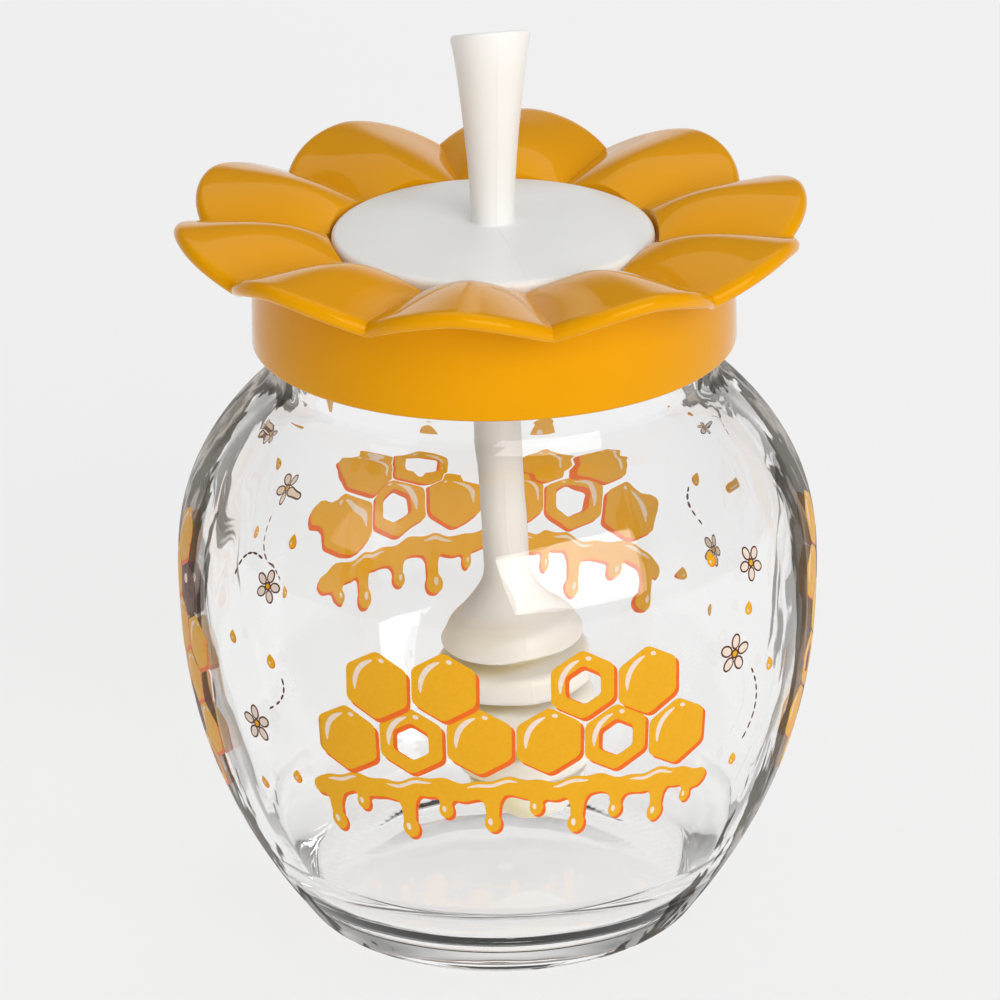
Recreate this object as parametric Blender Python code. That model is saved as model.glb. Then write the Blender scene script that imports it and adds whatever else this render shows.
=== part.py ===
"""Empty honey jar: a round glass jar, a flower-shaped plastic lid and a dipper that hangs through it.

Metres, +Z up. The origin is the centre of the face the jar stands on, and -Y is the front.
"""
import math

import bmesh
import bpy
from mathutils import Vector

MM = 0.001

# Glass jar
BELLY_R = 58.9 * MM
BELLY_Z = 67.0 * MM
FOOT_R = 36.3 * MM
FOOT_POWER = 2.3
SHOULDER_END_Z = 105.0 * MM
SHOULDER_DROP = 19.1 * MM
SHOULDER_POWER = 2.5
HEEL_RADIUS = 4.8 * MM
HEEL_CENTRE_R = 34.0 * MM
HEEL_END_DEG = -42.0
REST_RING_R = 31.2 * MM
PUSH_UP = 2.0 * MM
GLASS_WALL = 3.0 * MM
FLOOR_Z = 6.5 * MM
FLOOR_FILLET = 12.6 * MM
NECK_R = 40.5 * MM
MOUTH_R = 36.5 * MM
NECK_START_Z = 105.6 * MM
NECK_TOP_Z = 125.9 * MM
LIP_RADIUS = 1.4 * MM
OUTER_WALL_Z = (2.4 * MM, 103.0 * MM)
OUTER_WALL_RINGS = 15
INNER_WALL_Z = (17.0 * MM, 101.5 * MM)
INNER_WALL_RINGS = 11
JAR_SEGMENTS = 56

# Where touching pieces meet
GAP = 0.3 * MM

# Lid: skirt, plate and ten petals
SKIRT_BOTTOM_Z = 111.6 * MM
SKIRT_R = 44.0 * MM
SKIRT_TOP_R = 43.7 * MM
SKIRT_INNER_R = 42.0 * MM
SKIRT_ROUNDING = 0.6 * MM
PLATE_UNDER_Z = NECK_TOP_Z + GAP
LEDGE_Z = 128.5 * MM
LID_HOLE_R = 20.0 * MM
RECESS_R = 29.85 * MM
PETALS = 10
FIRST_PETAL_DEG = 11.1
NOTCH_R = 52.4 * MM
TIP_R = 57.6 * MM
ROOT_CREST_Z = 132.3 * MM
ROOT_VALLEY_Z = 130.1 * MM
NOTCH_Z = 131.5 * MM
TIP_Z = 136.5 * MM
OUTLINE_POWER = 2.1
DOME_POWER = 1.65
CREST_POWER = 3.8
VALLEY_POWER = 1.05
PETAL_THICKNESS = 2.5 * MM
RIM_THICKNESS = 3.1 * MM
STEPS_PER_PETAL = 10
PETAL_RINGS = 6
RING_CROWDING = 1.5
RIM_STEPS = 4

# Dipper: slanted handle, disc, bowed shaft and ridged head
DISC_TOP_Z = 133.5 * MM
DISC_SHOULDER_Z = 131.9 * MM
DISC_DOME_POWER = 3.0
DISC_R = 29.15 * MM
DISC_EDGE = 1.2 * MM
DISC_UNDER_Z = LEDGE_Z + GAP
HANDLE_FOOT_R = 3.9 * MM
HANDLE_TOP_R = 7.1 * MM
HANDLE_TOP_Z = 168.6 * MM
HANDLE_FLARE = 1.55
HANDLE_ROUNDING = 0.8 * MM
HANDLE_CUT_BACK = math.radians(17.0)
HANDLE_CUT_LEFT = math.radians(4.0)
SHAFT_R = 3.8 * MM
SHAFT_END_Z = 98.0 * MM
SHAFT_LEAN = -0.012
SHAFT_BOW = 0.60
DIPPER_SEGMENTS = 28

# Heights of the dipper's head: the cone's sharp lower edge, then the three ridges and the tip
CONE_Z = 52.6 * MM
CONE_R = 13.7 * MM
RIDGES = (
    # top, bottom, radius, edge rounding
    (48.9 * MM, 43.8 * MM, 14.9 * MM, 1.5 * MM),
    (41.4 * MM, 34.2 * MM, 14.2 * MM, 2.2 * MM),
    (31.6 * MM, 26.6 * MM, 12.8 * MM, 2.0 * MM),
)
GROOVE_R = 8.6 * MM
TIP_START_Z = 25.0 * MM
TIP_START_R = 10.8 * MM
TIP_END_Z = 15.7 * MM


def clear_objects():
    for old in list(bpy.data.objects):
        bpy.data.objects.remove(old, do_unlink=True)


def plastic(name, colour, roughness):
    material = bpy.data.materials.new(name)
    material.use_nodes = True
    shader = material.node_tree.nodes["Principled BSDF"]
    shader.inputs["Base Color"].default_value = (*colour, 1.0)
    shader.inputs["Roughness"].default_value = roughness
    shader.inputs["Metallic"].default_value = 0.0
    return material


def clear_glass(name, colour):
    material = plastic(name, colour, 0.02)
    shader = material.node_tree.nodes["Principled BSDF"]
    shader.inputs["Transmission Weight"].default_value = 1.0
    shader.inputs["IOR"].default_value = 1.5
    return material


def skin(name, rings, material, closed_loop=False):
    """One solid from rings of points; a ring of one point is a pole that closes an end."""
    mesh = bmesh.new()
    rows = [[mesh.verts.new(point) for point in ring] for ring in rings]
    pairs = list(zip(rows, rows[1:]))
    if closed_loop:
        pairs.append((rows[-1], rows[0]))
    for first, second in pairs:
        count = max(len(first), len(second))
        for i in range(count):
            j = (i + 1) % count
            if len(first) == 1:
                mesh.faces.new((first[0], second[i], second[j]))
            elif len(second) == 1:
                mesh.faces.new((first[i], first[j], second[0]))
            else:
                mesh.faces.new((first[i], first[j], second[j], second[i]))
    bmesh.ops.recalc_face_normals(mesh, faces=mesh.faces)
    data = bpy.data.meshes.new(name)
    mesh.to_mesh(data)
    mesh.free()
    data.shade_smooth()
    data.set_sharp_from_angle(angle=math.radians(38.0))
    data.materials.append(material)
    solid = bpy.data.objects.new(name, data)
    bpy.context.scene.collection.objects.link(solid)
    return solid


def circle(radius, height, segments):
    if radius == 0.0:
        return [Vector((0.0, 0.0, height))]
    turn = math.tau / segments
    angles = [i * turn for i in range(segments)]
    return [Vector((radius * math.cos(angle), radius * math.sin(angle), height)) for angle in angles]


def arc(centre_r, centre_z, radius, start_deg, end_deg, steps):
    """Points (radius from the axis, height) along an arc of the turned profile."""
    points = []
    for i in range(steps + 1):
        angle = math.radians(start_deg + (end_deg - start_deg) * i / steps)
        points.append((centre_r + radius * math.cos(angle), centre_z + radius * math.sin(angle)))
    return points


def spread(start, end, count):
    """This many values at even steps from start to end."""
    return [start + (end - start) * i / (count - 1) for i in range(count)]


def body_radius(height):
    """Outer radius of the glass between its foot and its shoulder."""
    if height < BELLY_Z:
        part = (BELLY_Z - height) / BELLY_Z
        return BELLY_R - (BELLY_R - FOOT_R) * part ** FOOT_POWER
    part = (height - BELLY_Z) / (SHOULDER_END_Z - BELLY_Z)
    return BELLY_R - SHOULDER_DROP * part ** SHOULDER_POWER


def body_slope(height):
    step = 0.1 * MM
    return (body_radius(height + step) - body_radius(height - step)) / (2.0 * step)


def inner_point(height):
    """The point of the inner wall that faces the outer wall at this height."""
    lean = math.atan(body_slope(height))
    return (body_radius(height) - GLASS_WALL * math.cos(lean), height + GLASS_WALL * math.sin(lean))


def jar_profile():
    """The glass as (radius, height), from under the base, up the outside and down the inside."""
    profile = [(0.0, PUSH_UP), (0.6 * REST_RING_R, 0.7 * PUSH_UP), (REST_RING_R, 0.0)]
    profile += arc(HEEL_CENTRE_R, HEEL_RADIUS, HEEL_RADIUS, -90.0, HEEL_END_DEG, 3)
    profile += [(body_radius(height), height) for height in spread(*OUTER_WALL_Z, OUTER_WALL_RINGS)]
    profile.append((NECK_R + 0.5 * MM, NECK_START_Z - 0.9 * MM))
    profile.append((NECK_R, NECK_START_Z + 0.6 * MM))
    profile += arc(NECK_R - LIP_RADIUS, NECK_TOP_Z - LIP_RADIUS, LIP_RADIUS, 0.0, 90.0, 2)
    profile += arc(MOUTH_R + LIP_RADIUS, NECK_TOP_Z - LIP_RADIUS, LIP_RADIUS, 90.0, 180.0, 2)
    profile.append((MOUTH_R, NECK_START_Z - 1.0 * MM))
    bottom, top = INNER_WALL_Z
    profile += [inner_point(height) for height in spread(top, bottom, INNER_WALL_RINGS)]
    heel_r, heel_z = profile[-1]
    floor_r = heel_r - FLOOR_FILLET
    for i in range(1, 5):
        angle = math.radians(90.0 * i / 4)
        radius = floor_r + FLOOR_FILLET * math.cos(angle)
        profile.append((radius, heel_z - (heel_z - FLOOR_Z) * math.sin(angle)))
    profile.append((0.0, FLOOR_Z))
    return profile


def make_jar():
    rings = [circle(radius, height, JAR_SEGMENTS) for radius, height in jar_profile()]
    skin("glass_jar", rings, clear_glass("clear_glass", (0.95, 0.97, 0.96)))


def petal_place(angle_deg):
    """-1 to 1 across the petal that this direction falls on; 0 is its middle."""
    pitch = 360.0 / PETALS
    across = (angle_deg - FIRST_PETAL_DEG + 0.5 * pitch) % pitch - 0.5 * pitch
    return across / (0.5 * pitch)


def rim_radius(place):
    return NOTCH_R + (TIP_R - NOTCH_R) * (1.0 - abs(place) ** OUTLINE_POWER)


def petal_height(radius, place):
    """Height of a petal's top face: a leaf that rises steeply, then levels out, with creases between."""
    out = (radius - RECESS_R) / (rim_radius(place) - RECESS_R)
    crest = TIP_Z - (TIP_Z - ROOT_CREST_Z) * (1.0 - out) ** CREST_POWER
    valley = ROOT_VALLEY_Z + (NOTCH_Z - ROOT_VALLEY_Z) * out ** VALLEY_POWER
    return valley + (crest - valley) * (1.0 - abs(place) ** DOME_POWER)


def lid_section(place):
    """The lid's closed section at one direction, as (radius, height)."""
    half = 0.5 * RIM_THICKNESS
    rim = rim_radius(place)
    edge = rim - half
    section = [(LID_HOLE_R, PLATE_UNDER_Z), (LID_HOLE_R, LEDGE_Z), (RECESS_R, LEDGE_Z)]
    for i in range(PETAL_RINGS + 1):
        radius = RECESS_R + (edge - RECESS_R) * (i / PETAL_RINGS) ** RING_CROWDING
        section.append((radius, petal_height(radius, place)))
    edge_height = petal_height(edge, place)
    section += arc(edge, edge_height - half, half, 90.0, -90.0, RIM_STEPS)[1:]
    under_r = SKIRT_TOP_R + 0.35 * (edge - SKIRT_TOP_R)
    section.append((under_r, petal_height(under_r, place) - PETAL_THICKNESS))
    section.append((SKIRT_TOP_R, petal_height(SKIRT_TOP_R, place) - PETAL_THICKNESS))
    section.append((SKIRT_R, SKIRT_BOTTOM_Z + SKIRT_ROUNDING))
    section.append((SKIRT_R - SKIRT_ROUNDING, SKIRT_BOTTOM_Z))
    section.append((SKIRT_INNER_R + 0.5 * SKIRT_ROUNDING, SKIRT_BOTTOM_Z))
    section.append((SKIRT_INNER_R, SKIRT_BOTTOM_Z + SKIRT_ROUNDING))
    section.append((SKIRT_INNER_R, PLATE_UNDER_Z))
    return section


def make_lid():
    count = PETALS * STEPS_PER_PETAL
    columns = []
    for i in range(count):
        angle = FIRST_PETAL_DEG + 360.0 * (i / count - 0.5 / PETALS)
        turned = []
        for radius, height in lid_section(petal_place(angle)):
            direction = math.radians(angle)
            turned.append(Vector((radius * math.cos(direction), radius * math.sin(direction), height)))
        columns.append(turned)
    rings = [list(ring) for ring in zip(*columns)]
    skin("flower_lid", rings, plastic("yellow_plastic", (0.78, 0.37, 0.01), 0.25), closed_loop=True)


def cut_ring(radius, drop):
    """A ring of the handle's slanted end, this far below the cut."""
    ring = []
    for point in circle(radius, HANDLE_TOP_Z - drop, DIPPER_SEGMENTS):
        rise = point.x * math.tan(HANDLE_CUT_LEFT) - point.y * math.tan(HANDLE_CUT_BACK)
        ring.append(point + Vector((0.0, 0.0, rise)))
    return ring


def leaning_ring(radius, height):
    """A ring square to the shaft, which leans and bows towards +X below the disc."""
    down = DISC_UNDER_Z - height
    offset = SHAFT_LEAN * down + SHAFT_BOW * down * down
    lean = math.atan(SHAFT_LEAN + 2.0 * SHAFT_BOW * down)
    ring = []
    for point in circle(radius, 0.0, DIPPER_SEGMENTS):
        ring.append(Vector((offset + point.x * math.cos(lean), point.y, height + point.x * math.sin(lean))))
    return ring


def handle_radius(height):
    part = (height - DISC_TOP_Z) / (HANDLE_TOP_Z - DISC_TOP_Z)
    return HANDLE_FOOT_R + (HANDLE_TOP_R - HANDLE_FOOT_R) * part ** HANDLE_FLARE


def disc_height(radius):
    return DISC_TOP_Z - (DISC_TOP_Z - DISC_SHOULDER_Z) * (radius / (DISC_R - DISC_EDGE)) ** DISC_DOME_POWER


def handle_rings():
    rings = [[Vector((0.0, 0.0, HANDLE_TOP_Z))]]
    rings.append(cut_ring(HANDLE_TOP_R - HANDLE_ROUNDING, 0.0))
    rings.append(cut_ring(HANDLE_TOP_R - 0.25 * HANDLE_ROUNDING, 0.3 * HANDLE_ROUNDING))
    rings.append(cut_ring(HANDLE_TOP_R, 1.1 * HANDLE_ROUNDING))
    for height in spread(HANDLE_TOP_Z - 4.5 * MM, DISC_TOP_Z + 0.4 * MM, 5):
        rings.append(circle(handle_radius(height), height, DIPPER_SEGMENTS))
    rings.append(circle(HANDLE_FOOT_R + 0.5 * MM, DISC_TOP_Z, DIPPER_SEGMENTS))
    return rings


def disc_rings():
    flat = DISC_R - DISC_EDGE
    section = [(part * flat, disc_height(part * flat)) for part in (0.5, 0.75, 0.9)]
    section += arc(flat, DISC_SHOULDER_Z - DISC_EDGE, DISC_EDGE, 80.0, 0.0, 3)
    section.append((DISC_R, DISC_UNDER_Z + 0.4 * MM))
    section.append((DISC_R - 0.4 * MM, DISC_UNDER_Z))
    rings = [circle(radius, height, DIPPER_SEGMENTS) for radius, height in section]
    rings.append(circle(SHAFT_R + 0.8 * MM, DISC_UNDER_Z, DIPPER_SEGMENTS))
    return rings


def shaft_and_head_rings():
    cone = (
        # height above the cone's edge, radius
        (14.0 * MM, SHAFT_R),
        (11.3 * MM, 4.4 * MM),
        (8.5 * MM, 6.1 * MM),
        (5.1 * MM, 9.3 * MM),
        (3.2 * MM, 11.7 * MM),
        (1.2 * MM, 12.9 * MM),
        (0.0, CONE_R),
        (-0.9 * MM, CONE_R - 0.6 * MM),
    )
    profile = [(SHAFT_R, DISC_UNDER_Z - 0.8 * MM), (SHAFT_R, SHAFT_END_Z)]
    profile += [(radius, CONE_Z + rise) for rise, radius in cone]
    above = CONE_Z - 0.9 * MM
    for top, bottom, radius, rounding in RIDGES:
        profile.append((GROOVE_R, above - 0.3 * MM))
        profile.append((GROOVE_R, top + 0.2 * MM))
        profile += arc(radius - rounding, top - rounding, rounding, 90.0, 0.0, 2)
        profile += arc(radius - rounding, bottom + rounding, rounding, 0.0, -90.0, 2)
        above = bottom
    profile.append((GROOVE_R, above - 0.3 * MM))
    profile.append((GROOVE_R, TIP_START_Z + 0.5 * MM))
    for i in range(5):
        angle = math.radians(90.0 * i / 5)
        profile.append((TIP_START_R * math.cos(angle), TIP_START_Z - (TIP_START_Z - TIP_END_Z) * math.sin(angle)))
    rings = [leaning_ring(radius, height) for radius, height in profile]
    down = DISC_UNDER_Z - TIP_END_Z
    rings.append([Vector((SHAFT_LEAN * down + SHAFT_BOW * down * down, 0.0, TIP_END_Z))])
    return rings


def make_dipper():
    rings = handle_rings() + disc_rings() + shaft_and_head_rings()
    skin("dipper", rings, plastic("white_plastic", (0.86, 0.84, 0.78), 0.35))


clear_objects()
make_jar()
make_lid()
make_dipper()
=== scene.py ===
"""Looks of the empty honey jar: clear printed glass, a glossy flower lid and a cream dipper.

Metres, +Z up, -Y to the front, in the frame of its CAD model. The fine meshes repeat the CAD's
named sizes at smaller steps and stand for its three nodes.
"""
import math

import bpy
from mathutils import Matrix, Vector, noise
from mathutils.geometry import delaunay_2d_cdt


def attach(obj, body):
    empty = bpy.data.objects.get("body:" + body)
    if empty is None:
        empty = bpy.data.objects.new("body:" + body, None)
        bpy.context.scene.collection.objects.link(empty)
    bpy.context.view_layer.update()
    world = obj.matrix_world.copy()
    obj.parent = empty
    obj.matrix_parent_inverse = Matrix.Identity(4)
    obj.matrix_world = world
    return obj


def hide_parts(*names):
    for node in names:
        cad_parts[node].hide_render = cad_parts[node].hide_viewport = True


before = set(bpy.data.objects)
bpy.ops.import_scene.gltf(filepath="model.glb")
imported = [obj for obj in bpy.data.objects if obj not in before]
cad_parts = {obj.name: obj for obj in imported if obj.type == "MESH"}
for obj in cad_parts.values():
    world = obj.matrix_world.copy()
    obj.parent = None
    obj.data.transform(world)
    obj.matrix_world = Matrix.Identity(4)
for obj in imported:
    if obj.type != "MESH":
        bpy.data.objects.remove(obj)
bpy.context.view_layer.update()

MM = 0.001

# Glass jar: the CAD's sizes, except for the heel's last degrees and the wall's ends and steps
BELLY_R = 58.9 * MM
BELLY_Z = 67.0 * MM
FOOT_R = 36.3 * MM
FOOT_POWER = 2.3
SHOULDER_END_Z = 105.0 * MM
SHOULDER_DROP = 19.1 * MM
SHOULDER_POWER = 2.5
HEEL_RADIUS = 4.8 * MM
HEEL_CENTRE_R = 34.0 * MM
HEEL_END_DEG = -39.0
REST_RING_R = 31.2 * MM
PUSH_UP = 2.0 * MM
PUSH_UP_POWER = 2.4
GLASS_WALL = 3.0 * MM
FLOOR_Z = 6.5 * MM
FLOOR_FILLET = 12.6 * MM
NECK_R = 40.5 * MM
MOUTH_R = 36.5 * MM
NECK_START_Z = 105.6 * MM
NECK_TOP_Z = 125.9 * MM
LIP_RADIUS = 1.4 * MM
OUTER_WALL_Z = (2.3 * MM, 103.0 * MM)
INNER_WALL_Z = (17.0 * MM, 101.5 * MM)
WALL_STEP = 1.4 * MM
JAR_SEGMENTS = 360
GLASS_IOR = 1.46

# How far the blown glass strays from a true turned shape
OUTER_WAVE = 0.03 * MM
INNER_WAVE = 0.22 * MM
FINE_WAVE_SHARE = 0.35
FLOOR_WAVE_SHARE = 0.08
WAVE_PITCH = 34.0 * MM
CALM_FLOOR_R = 20.0 * MM
CALM_LIP = 12.0 * MM
CALM_FOOT = 14.0 * MM
CALM_SHOULDER = 8.0 * MM
STIPPLE_DEPTH = 0.05 * MM
STIPPLE_MARGIN = 1.2 * MM
STIPPLES = 90

GAP = 0.3 * MM

# A small rounded edge, and how far its middle point lies from each face
EDGE = 0.4 * MM
EDGE_MIDDLE = 0.12 * MM

# Lid, as in the CAD
SKIRT_BOTTOM_Z = 111.6 * MM
SKIRT_R = 44.0 * MM
SKIRT_TOP_R = 43.7 * MM
SKIRT_INNER_R = 42.0 * MM
SKIRT_ROUNDING = 0.6 * MM
SKIRT_TAPER = 12.0 * MM
INNER_EDGE = 0.5 * MM
PLATE_UNDER_Z = NECK_TOP_Z + GAP
LEDGE_Z = 128.5 * MM
LID_HOLE_R = 20.0 * MM
RECESS_R = 29.85 * MM
RECESS_ROUNDING = 0.35 * MM
PETALS = 10
FIRST_PETAL_DEG = 11.1
NOTCH_R = 52.4 * MM
TIP_R = 57.6 * MM
ROOT_CREST_Z = 132.3 * MM
ROOT_VALLEY_Z = 130.1 * MM
NOTCH_Z = 131.5 * MM
TIP_Z = 136.5 * MM
OUTLINE_POWER = 2.1
DOME_POWER = 1.65
CREST_POWER = 3.8
VALLEY_POWER = 1.05
PETAL_THICKNESS = 2.5 * MM
RIM_THICKNESS = 3.1 * MM
STEPS_PER_PETAL = 32
PETAL_RINGS = 26
RING_CROWDING = 1.5
RIM_STEPS = 10

# Dipper, as in the CAD
DISC_TOP_Z = 133.5 * MM
DISC_SHOULDER_Z = 131.9 * MM
DISC_DOME_POWER = 3.0
DISC_R = 29.15 * MM
DISC_EDGE = 1.2 * MM
DISC_UNDER_Z = LEDGE_Z + GAP
HANDLE_FOOT_R = 3.9 * MM
HANDLE_TOP_R = 7.1 * MM
HANDLE_TOP_Z = 168.6 * MM
HANDLE_FLARE = 1.55
HANDLE_FOOT_ROUNDING = 0.5 * MM
HANDLE_ROUNDING = 0.8 * MM
HANDLE_CUT_ROOM = 4.5 * MM
HANDLE_CUT_BACK = math.radians(17.0)
HANDLE_CUT_LEFT = math.radians(4.0)
SHAFT_R = 3.8 * MM
SHAFT_LEAN = -0.012
SHAFT_BOW = 0.60
DIPPER_SEGMENTS = 96
CONE_Z = 52.6 * MM
CONE_R = 13.7 * MM
RIDGES = (
    # top, bottom, radius, edge rounding
    (48.9 * MM, 43.8 * MM, 14.9 * MM, 1.5 * MM),
    (41.4 * MM, 34.2 * MM, 14.2 * MM, 2.2 * MM),
    (31.6 * MM, 26.6 * MM, 12.8 * MM, 2.0 * MM),
)
GROOVE_R = 8.6 * MM
GROOVE_ROUNDING = 0.45 * MM
GROOVE_MOUTH = 1.6 * MM
TIP_START_Z = 25.0 * MM
TIP_START_R = 10.8 * MM
TIP_END_Z = 15.7 * MM

# The mould's parting line along the dipper
PARTING_DEG = -77.5
PARTING_WIDTH = 0.22 * MM
PARTING_HEIGHT = 0.09 * MM

# Print: it straddles the outer face of the glass
INK_HALF = 0.04 * MM
INKS = ("honey", "amber", "cream", "brown")

# The flat print, in millimetres; the grid's points are moved off the outlines' own
INK_GRID = 2.2
INK_GRID_OFFSET = (0.013, 0.017)
INK_MERGE = 1e-5
PRINT_SAG = 3.2
PRINT_HALF_WIDTH = 38.0
MAIN_CELL = 6.6
SIDE_CELL = 5.4
DASH_WIDTH = 0.42

# Spacing of the comb, in radii of a cell
CELL_ACROSS = 1.86
CELL_UP = 1.60

# Camera, from the photograph: its aim is the centre of the skirt's lower edge
CAMERA_DISTANCE = 900.0 * MM
CAMERA_DOWN = math.radians(22.305)
CAMERA_ASIDE = 0.609 * MM
CAMERA_DROP = 30.13 * MM
CAMERA_ROLL = math.radians(0.80)
CAMERA_LENS_MM = 178.52
SENSOR_MM = 36.0
CAMERA_NEAR = 10.0 * MM

# Stage
FLOOR_HALF = 6.0
FLOOR_DROP = 0.2 * MM
LIGHT_AIM_Z = 80.0 * MM
LIGHTS = (
    # name, azimuth and elevation in degrees, distance, width, height, watts
    ("key", 28.6, 25.0, 3.6, 3.2, 2.2, 96.0),
    ("top", 180.0, 72.0, 3.2, 3.0, 3.0, 25.0),
    ("fill", -60.0, 38.0, 3.6, 1.2, 1.2, 4.0),
)


# Meshes

def skin(name, rings, sharp_deg, closed_loop=False):
    """A piece from rings of points; a ring of one point is a pole that closes an end."""
    points = []
    starts = []
    for ring in rings:
        starts.append(len(points))
        points += [tuple(point) for point in ring]
    faces = []
    for k in range(len(rings) if closed_loop else len(rings) - 1):
        n = (k + 1) % len(rings)
        first, second = starts[k], starts[n]
        count = max(len(rings[k]), len(rings[n]))
        for i in range(count):
            j = (i + 1) % count
            if len(rings[k]) == 1:
                faces.append((first, second + i, second + j))
            elif len(rings[n]) == 1:
                faces.append((first + i, first + j, second))
            else:
                faces.append((first + i, first + j, second + j, second + i))
    return piece(name, points, faces, sharp_deg)


def piece(name, points, faces, sharp_deg=38.0):
    data = bpy.data.meshes.new(name)
    data.from_pydata(points, [], faces)
    data.validate()
    obj = bpy.data.objects.new(name, data)
    bpy.context.scene.collection.objects.link(obj)
    face_outwards(data)
    data.shade_smooth()
    data.set_sharp_from_angle(angle=math.radians(sharp_deg))
    return obj


def face_outwards(data):
    """Turns the mesh right side out by the sign of its volume."""
    volume = 0.0
    for face in data.polygons:
        corners = [data.vertices[i].co for i in face.vertices]
        for a, b in zip(corners[1:], corners[2:]):
            volume += corners[0].dot(a.cross(b))
    if volume < 0.0:
        data.flip_normals()


def arc(centre_r, centre_z, radius, start_deg, end_deg, steps):
    """Points (radius from the axis, height) along an arc of the turned profile."""
    points = []
    for i in range(steps + 1):
        angle = math.radians(start_deg + (end_deg - start_deg) * i / steps)
        points.append((centre_r + radius * math.cos(angle), centre_z + radius * math.sin(angle)))
    return points


def spread(start, end, count):
    """This many values at even steps from start to end."""
    return [start + (end - start) * i / (count - 1) for i in range(count)]


def on_bend(start, corner, end, t):
    """The point a share t along a soft curve from start to end that heads for the corner."""
    return tuple((1 - t) ** 2 * a + 2 * t * (1 - t) * b + t * t * c for a, b, c in zip(start, corner, end))


def bend(start, corner, end, steps):
    """Points along such a curve, both ends left out."""
    return [on_bend(start, corner, end, i / steps) for i in range(1, steps)]


# Glass jar

def body_radius(height):
    """Outer radius of the glass between its foot and its shoulder."""
    if height < BELLY_Z:
        part = (BELLY_Z - height) / BELLY_Z
        return BELLY_R - (BELLY_R - FOOT_R) * part ** FOOT_POWER
    part = (height - BELLY_Z) / (SHOULDER_END_Z - BELLY_Z)
    return BELLY_R - SHOULDER_DROP * part ** SHOULDER_POWER


def body_slope(height):
    step = 0.1 * MM
    return (body_radius(height + step) - body_radius(height - step)) / (2.0 * step)


def inner_point(height):
    """The point of the inner wall that faces the outer wall at this height."""
    lean = math.atan(body_slope(height))
    return (body_radius(height) - GLASS_WALL * math.cos(lean), height + GLASS_WALL * math.sin(lean))


def outer_profile():
    """Up the outside as (radius, height), from the middle of the base to the lip's top."""
    profile = []
    for radius in spread(0.0, REST_RING_R, 26):
        profile.append((radius, PUSH_UP * (1.0 - (radius / REST_RING_R) ** PUSH_UP_POWER)))
    profile += [(radius, 0.0) for radius in spread(REST_RING_R, HEEL_CENTRE_R, 6)[1:-1]]
    profile += arc(HEEL_CENTRE_R, HEEL_RADIUS, HEEL_RADIUS, -90.0, HEEL_END_DEG, 12)
    bottom, top = OUTER_WALL_Z
    count = 1 + round((top - bottom) / WALL_STEP)
    profile += [(body_radius(height), height) for height in spread(bottom, top, count)]
    start = (NECK_R, NECK_START_Z + 1.4 * MM)
    corner = (NECK_R, NECK_START_Z - 0.6 * MM)
    profile += bend(profile[-1], corner, start, 6)
    profile.append(start)
    lip_z = NECK_TOP_Z - LIP_RADIUS
    profile += [(NECK_R, height) for height in spread(start[1], lip_z, 8)[1:-1]]
    profile += arc(NECK_R - LIP_RADIUS, lip_z, LIP_RADIUS, 0.0, 90.0, 6)
    return profile


def inner_profile():
    """Down the inside as (radius, height), from the lip's top to the middle of the floor."""
    lip_z = NECK_TOP_Z - LIP_RADIUS
    profile = arc(MOUTH_R + LIP_RADIUS, lip_z, LIP_RADIUS, 90.0, 180.0, 6)
    bottom, top = INNER_WALL_Z
    neck_end = (MOUTH_R, NECK_START_Z + 1.0 * MM)
    corner = (MOUTH_R, NECK_START_Z - 2.5 * MM)
    profile += [(MOUTH_R, height) for height in spread(lip_z, neck_end[1], 9)[1:]]
    profile += bend(neck_end, corner, inner_point(top), 6)
    count = 1 + round((top - bottom) / WALL_STEP)
    profile += [inner_point(height) for height in spread(top, bottom, count)]
    heel_r, heel_z = profile[-1]
    floor_r = heel_r - FLOOR_FILLET
    steps = 20
    for i in range(1, steps + 1):
        angle = 0.5 * math.pi * i / steps
        radius = floor_r + FLOOR_FILLET * math.cos(angle)
        profile.append((radius, heel_z - (heel_z - FLOOR_Z) * math.sin(angle)))
    profile += [(radius, FLOOR_Z) for radius in spread(floor_r, 0.0, 16)[1:]]
    return profile


def ripple(angle, height, scale, seed):
    """-1 to 1, soft and wandering, drawn out upwards as blown glass is."""
    around = Vector((math.cos(angle), math.sin(angle), 0.0)) * scale
    around.z = height / WAVE_PITCH + seed
    return noise.noise(around)


def outer_wave(angle, height):
    """How far the outer face strays: nothing at the base and the neck."""
    room = min(1.0, height / CALM_FOOT, (SHOULDER_END_Z - height) / CALM_SHOULDER)
    return OUTER_WAVE * max(0.0, room) * ripple(angle, height, 5.0, 3.7)


def inner_wave(angle, height):
    coarse = ripple(angle, height, 3.2, 11.3)
    fine = ripple(angle, 2.2 * height, 9.0, 25.1)
    return INNER_WAVE * (coarse + FINE_WAVE_SHARE * fine)


def stippled(angle, radius, height):
    """How far the knurled bearing ring under the base is pressed in."""
    if height > 1.0 * MM or radius < REST_RING_R - STIPPLE_MARGIN:
        return 0.0
    return STIPPLE_DEPTH * max(0.0, math.sin(STIPPLES * angle))


def round_point(angle, radius, height):
    return Vector((radius * math.cos(angle), radius * math.sin(angle), height))


def outer_point(angle, radius, height):
    return round_point(angle, radius + outer_wave(angle, height), height + stippled(angle, radius, height))


def wavy_inner_point(angle, radius, height):
    """A point of the inner face, which is calm at the middle of the floor and at the lip."""
    calm = min(1.0, radius / CALM_FLOOR_R) * min(1.0, max(0.0, (NECK_TOP_Z - height) / CALM_LIP))
    wave = calm * inner_wave(angle, height)
    if height < FLOOR_Z + 0.1 * MM:
        return round_point(angle, radius, height + FLOOR_WAVE_SHARE * wave)
    return round_point(angle, radius + wave, height)


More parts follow.
